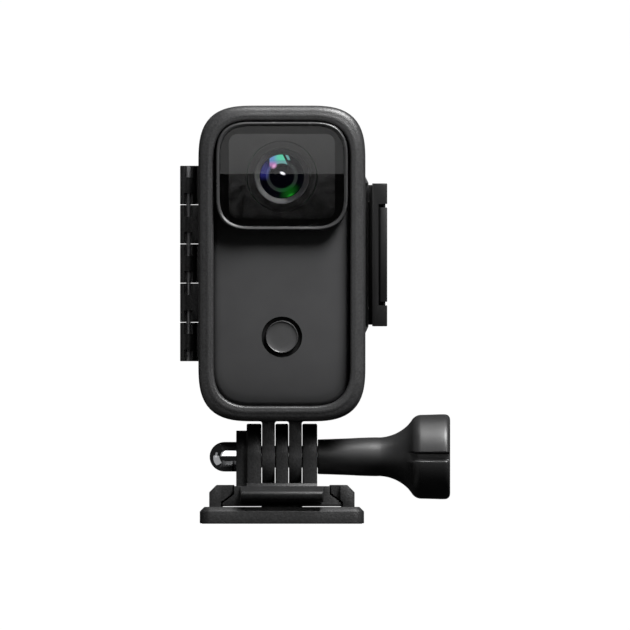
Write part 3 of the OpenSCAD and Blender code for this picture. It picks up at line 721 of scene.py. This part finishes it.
def build_latch():
    """The latch plate with its barrel, and its pull tab."""
    x0, x1 = CAGE_SIDE + 1.6, latch_high.x
    y0, y1 = -5.0, 6.9
    z0, z1 = latch_low.z, latch_high.z
    tab_low, tab_high = cad_box("latch_tab")
    end_room = 4.07
    barrel_z = (z0 + end_room, z1 - end_room)
    pocket_x = CAGE_SIDE + 2.95
    pocket_z = (tab_low.z - 0.8, tab_high.z + 0.78)
    plate = block("plate", (x0, y0, z0), (x1, y1, z1), bevel=0.2, segments=3)
    lip = block("lip", (CAGE_SIDE + 0.8, 1.5, z0 + 0.4), (x0 + 0.3, 2.9, z1 - 0.4), bevel=0.15)
    rib = block("rib", (x0 - 0.08, y0 - 0.2, z0), (x0 + 0.16, y0 + 1, z1), bevel=0.1)
    tube = upright("tube", LATCH_PIVOT, LATCH_BARREL_R, *barrel_z, bevel=0.12)
    neck_end = (LATCH_PIVOT.x + LATCH_BARREL_R, LATCH_PIVOT.y, barrel_z[1])
    neck = block("neck", (x0 + 0.1, y1 - 0.4, barrel_z[0]), neck_end, bevel=0.1)
    latch = cut(union("latch", [plate, rib, lip, neck, tube]), [
        block("pocket", (pocket_x, y0 - 1, pocket_z[0]), (x1 + 1, 5.8, pocket_z[1]), bevel=0),
        block("notch", (x1 - 0.4, y0 - 1, pocket_z[0]), (x1 + 1, y1 + 1, pocket_z[1]), bevel=0),
        upright("bore", LATCH_PIVOT, 0.57, z0 - 5, z1 + 5),
    ])
    finish_piece(latch, latch_look, "latch", "latch_plate")

    chamfer = 0.36
    outline = [(tab_low.x + chamfer, tab_low.y), (tab_high.x, tab_low.y), (tab_high.x, TAB_PIVOT.y),
               (tab_low.x, TAB_PIVOT.y), (tab_low.x, tab_low.y + chamfer)]
    tab = prism("tab", outline, "Z", tab_low.z, tab_high.z, bevel=0.12)
    roll = upright("roll", TAB_PIVOT, 0.84, tab_low.z, tab_high.z, bevel=0.1)
    tab = union("latch_pull_tab", [tab, roll])
    pitch, groove_r, groove_inset = 1.3, 0.35, 1.5
    groove_z = (tab_low.z + groove_inset, tab_high.z - groove_inset)
    grooves = []
    for i in range(1, 5):
        centre = (tab_high.x + 0.1, tab_low.y + 0.2 + pitch * i, 0)
        grooves.append(rod("groove", "Z", centre, groove_r, *groove_z, steps=20))
    finish_piece(cut(tab, grooves), latch_look, "latch_pull_tab", "latch_tab")


build_latch()


# ---- camera body

cap_low, cap_high = cad_box("button_cap")
BUTTON_Z = (cap_low.z + cap_high.z) / 2
BUTTON_R = 3.66


def front_fall(x, z):
    """How far the crowned front face falls back at a point: most at its sides and its lower end."""
    u = abs(x) / (CAMERA_W / 2)
    v = (z - CAMERA_Z) / (CAMERA_H / 2)
    return 0.95 * u ** 3 + (1.8 * v ** 6 if v < 0 else 0.3 * v ** 8)


def front_shell():
    """The front half of the camera: an open shell with a soft shoulder and a crowned face."""
    seam = -0.1
    shoulder, shoulder_drop = 2.1, 3.4
    inner_face = CAMERA_FRONT + 3.6
    section = [(SHELL_T, inner_face), (SHELL_T, seam), (0.12, seam), (0, seam - 0.12), (0, seam - 4)]
    rings = [[(x, y, z + CAMERA_Z) for x, z in camera_outline(inset)] for inset, y in section]
    for inset, y in round_over(shoulder, shoulder_drop, CAMERA_FRONT, 1, 5):
        level = [(x, z + CAMERA_Z) for x, z in camera_outline(inset)]
        rings.append([(x, y + front_fall(x, z), z) for x, z in level])
    last = rings[-1]
    circles = 16
    for k in range(1, circles):
        share = 1 - k / circles
        places = [(x * share, CAMERA_Z + (z - CAMERA_Z) * share) for x, _, z in last]
        rings.append([(x, CAMERA_FRONT + front_fall(x, z), z) for x, z in places])
    return loft("camera_front", rings)


def build_front():
    plug_low, plug_high = cad_box("port_plug")
    gap = 0.05
    seat_low = (plug_low.x, plug_low.y - gap, plug_low.z - gap)
    seat_high = (CAMERA_W, plug_high.y + gap, plug_high.z + gap)
    lens_hole_r, button_hole_r = 8.2, BUTTON_R + 0.92
    shell = cut(front_shell(), [
        rod("lens_hole", "Y", (0, 0, LENS_Z), lens_hole_r, CAMERA_FRONT - 2, -1.0),
        rod("button_hole", "Y", (0, 0, BUTTON_Z), button_hole_r, CAMERA_FRONT - 2, -6.5),
        block("plug_seat", seat_low, seat_high, bevel=0),
    ])
    finish_piece(shell, shell_look, "camera_in_cage", "camera_front_shell")


def build_back():
    """The back half of the camera with its screw seats and holes, and the rear screen's glass."""
    seam = 0.1
    glass_low, glass_high = cad_box("display_glass")
    screw_low, screw_high = cad_box("camera_screws")
    glass_w, glass_h = glass_high.x - glass_low.x, glass_high.z - glass_low.z
    glass_z = (glass_low.z + glass_high.z) / 2
    skin = CAMERA_BACK - SHELL_T
    section = [(SHELL_T, skin), (SHELL_T, seam), (0.12, seam), (0, seam + 0.12), (0, CAMERA_BACK - 4)]
    section += round_over(1.6, 1.6, CAMERA_BACK, -1)
    glass_outline = inset_outline(glass_w, glass_h, 3.1)
    cutters = [sweep("opening", glass_outline, [(-0.1, skin - 2), (-0.1, CAMERA_BACK + 1)], glass_z)]
    screw_r = 1.35
    for x in (screw_low.x + screw_r, screw_high.x - screw_r):
        for z in (screw_low.z + screw_r, screw_high.z - screw_r):
            seat = rod("seat", "Y", (x, 0, z), screw_r + 0.1, CAMERA_BACK - 0.8, CAMERA_BACK + 1)
            cutters.append(seat)
    speaker_pitch, hole_r = 1.5, 0.45
    speaker_holes = [(i * speaker_pitch, 39.5) for i in range(-3, 4)]
    microphone_hole = (-9.5, 44)
    for x, z in speaker_holes + [microphone_hole]:
        cutters.append(rod("hole", "Y", (x, 0, z), hole_r, skin - 1, CAMERA_BACK + 1, steps=24))
    shell = cut(sweep("camera_back", camera_outline, section, CAMERA_Z), cutters)
    finish_piece(shell, shell_look, "camera_in_cage", "camera_back_shell")

    rim = [(0, glass_low.y), (0, glass_high.y - 0.2), (0.06, glass_high.y - 0.06), (0.2, glass_high.y)]
    glass = sweep("rear_screen_glass", glass_outline, rim, glass_z)
    finish_piece(glass, screen_look, "camera_in_cage", "display_glass")


build_front()
build_back()


# ---- lens panel

def build_panel():
    """The raised bezel, its cover glass, and the black mask with its sunk middle."""
    low, high = cad_box("lens_bezel")
    width, height = high.x - low.x, high.z - low.z
    front = low.y
    foot = CAMERA_FRONT + 1.6
    panel_outline = inset_outline(width, height, 8.5, 2.9)
    seat = CAMERA_FRONT - 0.7
    section = [(0, foot), (0, front + 0.8)] + round_over(0.36, 0.45, front, 1, 5)
    section += [(0.46, front + 0.03), (0.8, front + 0.2), (0.8, seat), (6, seat), (6, foot)]
    bezel = sweep("lens_panel_bezel", panel_outline, section, LENS_Z, tube=True)
    finish_piece(bezel, bezel_look, "camera_in_cage", "lens_bezel")

    low, high = cad_box("lens_window")
    section = [(0.95, low.y), (0.85, low.y + 0.1), (0.85, high.y)]
    window = sweep("lens_window_glass", panel_outline, section, LENS_Z)
    finish_piece(window, window_look, "camera_in_cage", "lens_window")

    low, high = cad_box("lens_mask")
    sunk_outline = inset_outline(23.9, 19.1, 2.4, 2.4)
    mask = sweep("lens_panel_mask", panel_outline, [(0.9, low.y), (0.9, high.y)], LENS_Z)
    recess = sweep("recess", sunk_outline, [(0, low.y - 1), (0, low.y + 0.2)], LENS_Z)
    top, floor = low.y - 0.5, low.y + 0.27
    section = [(0.42, top), (0.42, floor), (0.54, floor), (0.54, top)]
    line = sweep("line", sunk_outline, section, LENS_Z, tube=True)
    hole = rod("hole", "Y", (0, 0, LENS_Z), 7.95, low.y - 1, high.y + 1, ROUND)
    mask = cut(mask, [recess, line, hole])
    finish_piece(mask, recess_look, "camera_in_cage", "lens_mask")

    def border_outline(is_inner):
        return sunk_outline(0) if is_inner else panel_outline(0.92)

    front = low.y - 0.03
    section = [(False, front), (False, low.y), (True, low.y), (True, front)]
    border = sweep("lens_panel_border", border_outline, section, LENS_Z, tube=True)
    finish_piece(border, border_look, "camera_in_cage")


def build_lens():
    """Barrel, satin retaining ring and coated front element with painted reflections, from the outside
    in.
    """
    centre = (0, 0, LENS_Z)
    front, step = -11.93, -11.86
    barrel = lathe("lens_barrel_rings", [
        (7.86, -2.8), (7.86, -11.85), (7.78, front), (7.12, front), (7.08, step), (7.08, -11.7),
        (6.94, -11.7), (6.94, step), (6.86, front), (6.28, front), (6.22, -11.88), (6.22, -10.3),
        (5.05, -10.3), (5.05, -8.6), (3.2, -8.6), (3.2, -2.8),
    ], "Y", centre, ROUND, tube=True)
    finish_piece(barrel, recess_look, "camera_in_cage", "lens_barrel")

    ring = lathe("lens_retaining_ring_metal", [
        (6.2, -10.32), (6.2, -11.0), (6.12, -11.09), (6.0, -11.08), (5.14, -10.46), (5.06, -10.4),
        (5.06, -10.32),
    ], "Y", centre, ROUND, tube=True)
    finish_piece(ring, ring_look, "camera_in_cage", "lens_retaining_ring")

    low, high = cad_box("lens_front_element")
    radius, sag = 4.95, 1.3
    ball = (radius ** 2 + sag ** 2) / (2 * sag)
    steps = 24
    radii = [NEAR_AXIS + i * (radius - NEAR_AXIS) / steps for i in range(steps + 1)]
    dome = [(r, low.y + ball - sqrt(ball ** 2 - r ** 2)) for r in radii]
    back = [(radius, high.y - 0.1), (radius - 0.1, high.y), (NEAR_AXIS, high.y - 0.25)]
    element = lathe("lens_front_glass", dome + back, "Y", centre, ROUND)
    finish_piece(element, painted_reflection_lens_look, "camera_in_cage", "lens_front_element")


build_panel()
build_lens()


# ---- record button

def build_button():
    """The dished cap with its raised rim, and the dark ring in the gap round it."""
    centre = (0, 0, BUTTON_Z)
    face = cap_low.y
    flange = CAMERA_FRONT + 1.3
    flange_r = BUTTON_R + 0.6
    dish = face + 0.26
    outline = [(NEAR_AXIS, cap_high.y), (flange_r, cap_high.y), (flange_r, flange), (BUTTON_R, flange)]
    rim = [(0, 0.22), (0.05, 0.08), (0.14, 0), (0.22, 0.02), (0.36, 0.16), (0.8, 0.24)]
    outline += [(BUTTON_R - inset, face + drop) for inset, drop in rim]
    outline += [(2.2, dish), (1.0, dish), (NEAR_AXIS, dish)]
    cap = lathe("record_button_cap", outline, "Y", centre)
    finish_piece(cap, button_look, "record_button", "button_cap")
    low, high = cad_box("button_ring")
    outline = [(0.9, high.y), (0.9, low.y + 0.7), (0.8, low.y + 0.8), (0.2, low.y + 0.9),
               (0.06, low.y + 0.95), (0.06, high.y)]
    outline = [(BUTTON_R + gap, y) for gap, y in outline]
    ring = lathe("record_button_seal", outline, "Y", centre, tube=True)
    finish_piece(ring, gasket_look, "camera_in_cage", "button_ring")


build_button()


# ---- base and buckle

def flat_sweep(name, width, length, corner, section):
    """A rounded slab lying flat; the section's points are (inset, z)."""
    rings = []
    for inset, z in section:
        outline = soft_outline(width - 2 * inset, length - 2 * inset, corner - inset, corner_steps=8)
        rings.append([(x, y, z) for x, y in outline])
    return loft(name, rings)


BASE_TOP = 3.82
DECK_Z = 8.5
STOP_Y = 9.8
FOOT_X, FOOT_Z = 13.4, 4.6  # where the dovetail is widest
NECK_X, NECK_Z = 10.8, 6.6  # where it is narrowest


def rail(side):
    """A dovetail rail: undercut, opened at its front end, and stepped in behind the buckle's foot."""
    top = cad_box("base_plate")[1].z
    outer, half_l = 16.38, 18.5
    bevel = 1.65

    def outline(gap):
        foot_x, neck_x = FOOT_X + gap, NECK_X + gap
        points = [(foot_x, BASE_TOP - 1), (outer, BASE_TOP - 1), (outer, top - bevel),
                  (outer - bevel, top), (neck_x, top), (neck_x, NECK_Z + gap), (foot_x, FOOT_Z + gap)]
        return [(side * x, z) for x, z in points]

    guide = prism("guide", outline(0.3), "Y", -half_l, STOP_Y + 0.3, bevel=0.13)
    stop = prism("stop", outline(-0.1), "Y", STOP_Y, half_l, bevel=0.13)
    xs = sorted((side * 9.5, side * 13.2))
    lead = block("lead", (xs[0], -half_l - 1, 5.2), (xs[1], 3.5 - half_l, 10), bevel=0)
    return union("rail", [cut(guide, [lead]), stop])


def build_base():
    low, high = cad_box("base_plate")
    width, length = high.x - low.x, high.y - low.y
    bevel = 1.05
    plate = flat_sweep("plate", width, length, 2.4, [
        (0.1, low.z), (0, low.z + 0.1), (0, BASE_TOP - bevel - 0.06), (0.05, BASE_TOP - bevel + 0.06),
        (bevel - 0.12, BASE_TOP - 0.1), (bevel + 0.04, BASE_TOP),
    ])
    ribs = []
    for x0, x1 in ((-4.1, -1.52), (-1.4, 1.5), (1.62, 4.1)):
        ribs.append(block("rib", (x0, -16, BASE_TOP - 1), (x1, 16, 4.6), bevel=0.1))
    rib_end = block("rib_end", (-4.6, 17.4, BASE_TOP - 1), (4.6, 18.4, 5.1), bevel=0.1)
    base = union("mount_base", [plate, rail(1), rail(-1), rib_end] + ribs)
    recess = flat_sweep("recess", width - 0.9, length - 0.9, 2.4, [(0, -1), (0, 0.65)])
    notch = block("notch", (-8.4, low.y - 1, 2.9), (8.4, low.y + 1.5, 5), bevel=0)
    finish_piece(cut(base, [recess, notch]), mount_look, "base", "base_plate")


def buckle_finger(x0, x1, radius, bevel):
    """A buckle finger: round top, straight neck."""
    outline = [(-radius, 8), (radius, 8)] + arc(0, AXIS_Z, radius, 0, 180, 32)
    return prism("finger", outline, "X", x0, x1, bevel=bevel, segments=3, min_angle=40)


def build_buckle():
    foot_z = 3.93
    half = [(FOOT_X, foot_z), (FOOT_X, FOOT_Z), (NECK_X, NECK_Z), (NECK_X, DECK_Z)]
    foot_outline = half + [(-x, z) for x, z in reversed(half)]
    foot = prism("foot", foot_outline, "Y", -18, STOP_Y - 0.3, bevel=0.13)
    tail = block("tail", (-7, 0, foot_z), (7, 17, DECK_Z), bevel=0.3)
    tab_outline = [(-17.8, DECK_Z), (-17.8, 5.2), (-20.6, 4.85)]
    tab_outline += arc(-22.5, 6.35, 1.5, 270, 200, 8) + arc(-23.3, 6.55, 0.9, 180, 90, 6)
    tab = prism("tab", tab_outline, "X", -9.35, 9.35, bevel=0.3, segments=3, min_angle=35)
    left, right = -7.95, 7.96
    gap_in, gap_out = 1.46, 4.6
    saddle_outline = [(-9.4, DECK_Z - 1), (-8.3, 9.17), (8.3, 9.17), (9.4, DECK_Z - 1)]
    saddle = prism("saddle", saddle_outline, "X", left, right, bevel=0.1)
    finger_ends = ((left, -gap_out), (-gap_in, gap_in), (gap_out, right))
    fingers = [buckle_finger(x0, x1, FINGER_R, 0.35) for x0, x1 in finger_ends]
    boss = buckle_finger(-10.3, -7.7, 5.9, 0.12)
    buckle = union("quick_release_buckle", [foot, tail, tab, saddle, boss] + fingers)
    axis = (0, 0, AXIS_Z)
    pocket_flat_r = 3.33
    hexagon = arc(0, AXIS_Z, pocket_flat_r / cos(radians(30)), 90, 390, 5)
    cutters = [
        rod("gap", "X", axis, FINGER_ROOM, -gap_out, -gap_in, steps=96),
        rod("gap", "X", axis, FINGER_ROOM, gap_in, gap_out, steps=96),
        rod("bore", "X", axis, BORE_R, -20, 20),
        prism("pocket", hexagon, "X", -18, -6.5, bevel=0),
        block("channel", (-4.2, -19, 0), (4.2, 30, 4.66), bevel=0),
    ]
    finish_piece(cut(buckle, cutters), mount_look, "buckle", "buckle_body")


build_base()
build_buckle()


# ---- clamp screw

def turn_about_bolt(name, outline, columns, reach_at):
    """A surface about the bolt's axis, whose radius at each angle comes from reach_at."""
    rings = []
    for radius, x in outline:
        ring = []
        for i in range(columns):
            a = 2 * pi * i / columns
            reach = reach_at(radius, x, a)
            ring.append((x, -reach * cos(a), AXIS_Z + reach * sin(a)))
        rings.append(ring)
    return loft(name, rings)


def build_knob():
    """The thumb knob: a round neck that flares into three lobes with narrow grooves between them."""
    low, high = cad_box("thumb_knob")
    end = high.x
    outline = [(3.75, low.x), (3.92, low.x + 0.15), (4.0, 11), (4.15, 15), (4.29, 17.75), (4.35, 19.6),
               (4.38, 21.0)]
    flare_r, flare_u, flare_x = 9.6, 13.95, 21.6
    for i in range(14):
        x = 22 + 0.5 * i
        outline.append((flare_u - sqrt(flare_r ** 2 - (x - flare_x) ** 2), x))
    outline += arc(6.9, 31.4, 2.55, -60, 0, 10)
    outline += [(9.47, 32.5), (9.5, 33.5), (9.53, 34.5), (9.57, 35.6)]
    rim_r, rim_x, rim_w, rim_power = 8.1, 36.5, 1.47, 0.8
    for i in range(11):
        c, s = cos(radians(9 * i)), sin(radians(9 * i))
        outline.append((rim_r + rim_w * c ** rim_power, rim_x + (end - rim_x) * s ** rim_power))
    dish = end - 0.9
    outline += [(8.2, end), (5.3, end - 0.05), (5.0, end - 0.2), (4.6, dish), (NEAR_AXIS, dish)]
    groove_half, groove_side, groove_floor, neck_floor = 0.9, 0.3, 8.3, 4.5
    head_x, neck_x = 30.2, 22

    def reach_at(radius, x, a):
        # Towards the neck the grooves get wider and their floor falls
        half_gap = groove_half + max(0, head_x - x) * 0.22
        floor_r = min(groove_floor, max(neck_floor, neck_floor + (x - neck_x) * 0.45))
        from_groove = abs((a + pi / 3) % (2 * pi / 3) - pi / 3)
        beside = radius * sin(from_groove)
        share = max(0.0, min(1.0, (beside - half_gap) / groove_side + 0.5))
        share = share * share * (3 - 2 * share)
        return radius if radius < floor_r else floor_r + (radius - floor_r) * share

    knob = turn_about_bolt("thumb_knob_lobed", outline, 360, reach_at)
    finish_piece(knob, knob_look, "thumb_screw", "thumb_knob")


def build_nut():
    """The cap nut: a hexagon with softly rounded corners that runs into a ball-shaped cap."""
    low, high = cad_box("cap_nut")
    flat_r, dome_r = 3.25, 3.33
    dome_x = low.x + dome_r
    softness = 6
    angles = [radians(a) for a in range(1, 90, 4)]
    caps = [(dome_r * sin(a), dome_x - dome_r * cos(a)) for a in angles]
    caps += [(3.45, dome_x + 0.25), (3.62, dome_x + 0.6), (3.75, dome_x + 1.0), (3.75, high.x)]

    def reach_at(cap_r, x, a):
        total = sum(abs(cos(a + radians(60 * k))) ** softness for k in range(3))
        return min(cap_r, flat_r * total ** (-1 / softness))

    nut = turn_about_bolt("cap_nut_chrome", caps, 144, reach_at)
    finish_piece(nut, chrome_look, "buckle", "cap_nut")


build_knob()
build_nut()


# ---- CAD pieces that keep their shape

CAD_LOOKS = (
    (foam_look, ["adhesive_pad"]),
    (mount_look, ["left_squeeze_arm", "right_squeeze_arm"]),
    (steel_look, ["clamp_bolt", "latch_pin", "camera_screws", "usb_socket", "card_socket", "microphone",
                  "button_switch"]),
    (pin_look, ["hinge_pin"]),
    (blackened_look, ["latch_tab_pin"]),
    (gasket_look, ["shell_seal", "port_plug"]),
    (ring_look, ["lens_spacer_ring"]),
    (element_look, ["lens_inner_element"]),
    (board_look, ["sensor_board", "main_board"]),
    (chip_look, ["image_sensor", "image_processor", "speaker"]),
    (wrap_look, ["battery"]),
    (screen_look, ["display_panel"]),
)
for look, nodes in CAD_LOOKS:
    for node in nodes:
        set_look(frame["nodes"][node], look)


# ---- stage, light and camera

def add_to_stage(obj, m):
    """Finishes a stage piece that only the camera sees, and that throws no shadow."""
    obj.data.materials.append(m.material)
    obj.visible_glossy = False
    obj.visible_diffuse = False
    obj.visible_transmission = False
    obj.visible_shadow = False


def stage_floor():
    """A plain pale floor that glows white far from the object, so that it has no dark horizon."""
    glow_start, glow_end = 0.18, 0.5
    bm = bmesh.new()
    bmesh.ops.create_circle(bm, cap_ends=True, radius=1500, segments=96)
    floor = make_object("floor", bm)
    m = Nodes("floor")
    m.set(Base_Color=m.ramp(m.noise(60, 2), (0.3, 0.82), (0.7, 0.86)),
          Roughness=m.ramp(m.noise(30, 2), (0.3, 0.6), (0.7, 0.7)))
    distance = m.add("ShaderNodeVectorMath", operation="LENGTH")
    m.link(m.place, distance.inputs[0])
    m.set(Emission_Color=m.step(distance.outputs["Value"], glow_start, glow_end))
    m.set(Emission_Strength=1.0)
    add_to_stage(floor, m)


def stage_backdrop():
    """A white backdrop all round."""
    bm = bmesh.new()
    bmesh.ops.create_uvsphere(bm, u_segments=48, v_segments=24, radius=3000)
    dome = make_object("backdrop", bm)
    m = Nodes("backdrop")
    m.set(Base_Color=(0, 0, 0, 1), Emission_Color=(1, 1, 1, 1), Emission_Strength=1.0)
    add_to_stage(dome, m)


MIDDLE = (0, 0, 0.055)


def area_light(name, place, size_x, size_y, power, target=MIDDLE, glossy=True, diffuse=True):
    """A softbox that faces a target, places in metres. It can skip reflections or diffuse light."""
    data = bpy.data.lights.new(name, "AREA")
    data.shape = "RECTANGLE"
    data.size, data.size_y = size_x, size_y
    data.energy = power
    light = add_object(name, data)
    light.location = place
    direction = Vector(target) - Vector(place)
    light.rotation_euler = direction.to_track_quat("-Z", "Y").to_euler()
    light.visible_camera = False
    light.visible_glossy = glossy
    light.visible_diffuse = diffuse


def light_scene():
    area_light("key", (0.33, -0.41, 0.80), 0.36, 0.36, 20)
    area_light("top_softbox", (0.1, -0.05, 0.8), 0.5, 0.4, 2.0)
    area_light("right_strip", (0.8, -0.35, 0.10), 0.12, 0.5, 0.45)
    area_light("left_fill", (-0.8, -0.3, 0.2), 0.3, 0.5, 0.12)
    area_light("front_softbox", (0.55, -0.9, 0.60), 0.3, 0.3, 5, diffuse=False)
    area_light("rear_right", (0.45, 1.0, 0.5), 0.5, 0.5, 18, glossy=False)
    area_light("rear_left", (-0.8, 0.7, 0.4), 0.5, 0.5, 8, glossy=False)
    # Two cards that show only in reflections, mostly in the shiny nut
    area_light("bright_strip", (0, -1.4, 0.70), 0.10, 1.2, 0.6, target=(0, 0, 0.70), diffuse=False)
    area_light("low_left_card", (-0.9, -0.35, -0.38), 1.2, 1.2, 1.6, diffuse=False)
    # The cover glass shows this card's lower edge as a level line just above the lens's middle
    card_low, card_h = 0.0788, 1.0
    card_z = card_low + card_h / 2
    area_light("front_card", (0, -1.5, card_z), 1.2, card_h, 1.8, target=(0, 0, card_z), diffuse=False)
    world = bpy.data.worlds.new("studio")
    world.use_nodes = True
    background = world.node_tree.nodes["Background"]
    background.inputs["Color"].default_value = (1, 1, 1, 1)
    background.inputs["Strength"].default_value = 0.012
    bpy.context.scene.world = world


def add_camera():
    """A level view from straight in front, without perspective."""
    data = bpy.data.cameras.new("camera")
    data.type = "ORTHO"
    view_w, centre_x, centre_z = 141.9, 7.455, 47.03
    data.ortho_scale = view_w * MM
    data.clip_end = 10
    camera = add_object("camera", data)
    camera.location = (centre_x * MM, -1.0, centre_z * MM)
    camera.rotation_euler = (radians(90), 0, 0)
    bpy.context.scene.camera = camera
    bpy.context.scene.view_settings.view_transform = "Standard"


stage_floor()
stage_backdrop()
light_scene()
add_camera()
